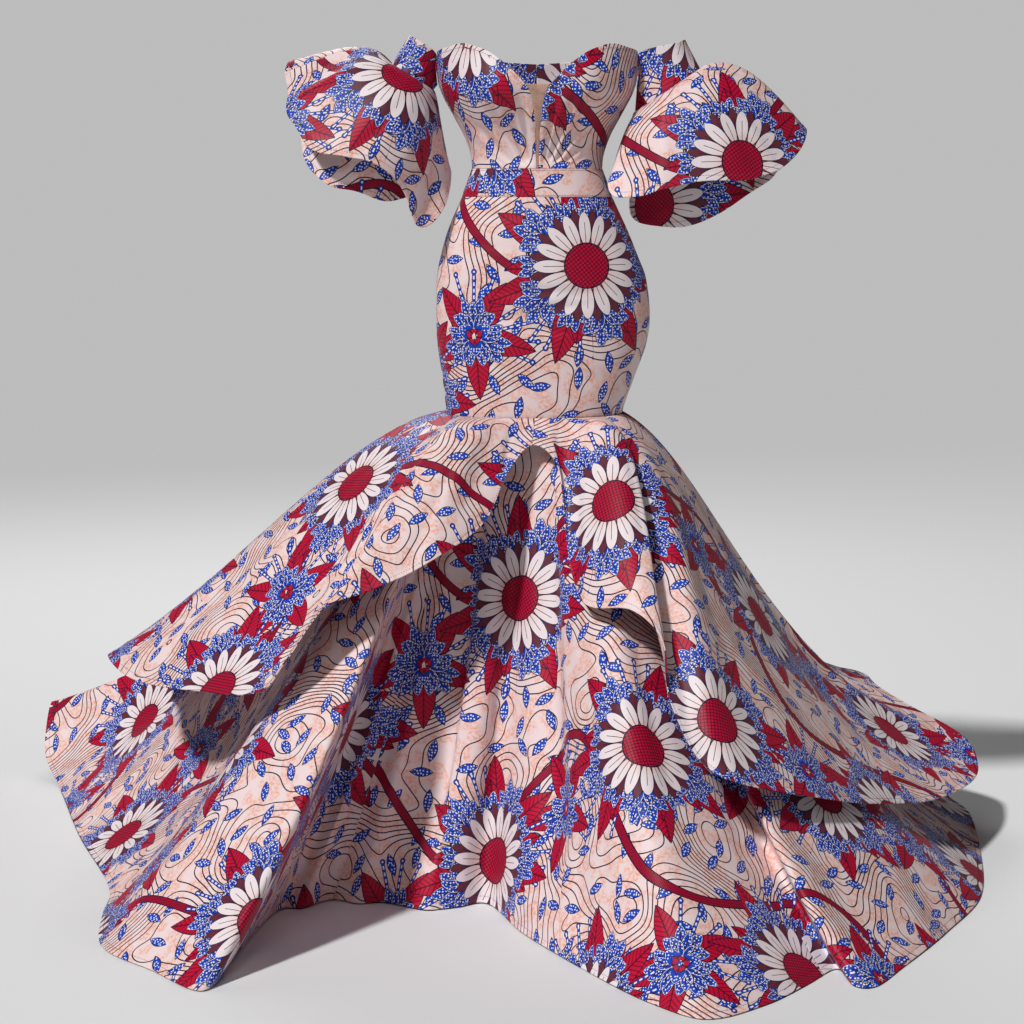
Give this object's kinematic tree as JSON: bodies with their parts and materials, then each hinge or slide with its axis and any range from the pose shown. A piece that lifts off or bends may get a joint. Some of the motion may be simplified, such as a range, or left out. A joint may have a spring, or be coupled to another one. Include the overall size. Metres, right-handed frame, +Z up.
{
  "type": "off-the-shoulder mermaid gown",
  "caption": "Printed off-the-shoulder gown with a sweetheart neck, tiered bell sleeves, fitted skirt and a sweeping tiered flounce with a train, in its worn shape.",
  "frame": {"origin": "middle of the waist, level with the seam over the waistband", "axes": "+Z up as worn, -Y is the way the front faces, +X towards the wearer's left arm"},
  "size_m": [1.7346, 1.8538, 1.3759],
  "materials": {
    "wax_print": "printed cotton satin, floral and line print in crimson, blue and navy on a blush ground",
    "nude_net": "fine even net",
    "zip_tape": "woven zip tape with a nylon coil",
    "zip_metal": "satin"
  },
  "bodies": {
    "gown": {"bodice_front_right": "wax_print", "bodice_back_right": "wax_print", "bodice_front_left": "wax_print", "bodice_back_left": "wax_print", "bodice_net_insert": "nude_net", "waistband_front": "wax_print", "waistband_back_left": "wax_print", "waistband_back_right": "wax_print", "skirt_front": "wax_print", "skirt_back_left": "wax_print", "skirt_back_right": "wax_print", "upper_flounce_front_left": "wax_print", "upper_flounce_side_left": "wax_print", "upper_flounce_back_left": "wax_print", "upper_flounce_back_right": "wax_print", "upper_flounce_side_right": "wax_print", "upper_flounce_front_right": "wax_print", "lower_flounce_front": "wax_print", "lower_flounce_front_left": "wax_print", "lower_flounce_side_left": "wax_print", "lower_flounce_back_left": "wax_print", "lower_flounce_train_left": "wax_print", "lower_flounce_train_right": "wax_print", "lower_flounce_back_right": "wax_print", "lower_flounce_side_right": "wax_print", "lower_flounce_front_right": "wax_print", "sleeve_right_band": "wax_print", "sleeve_right_upper_front": "wax_print", "sleeve_right_upper_back": "wax_print", "sleeve_right_lower_front": "wax_print", "sleeve_right_lower_back": "wax_print", "sleeve_left_band": "wax_print", "sleeve_left_upper_front": "wax_print", "sleeve_left_upper_back": "wax_print", "sleeve_left_lower_front": "wax_print", "sleeve_left_lower_back": "wax_print", "zip_coil": "zip_tape", "zip_slider": "zip_metal"},
    "pull": {"zip_pull": "zip_metal"}
  },
  "joints": [
    {"name": "zip_pull_hinge", "type": "hinge", "parent": "gown", "child": "pull", "pos_m": [0, 0.10535, 0.16], "axis": [1, 0, 0], "range_deg": [0, 150]}
  ]
}
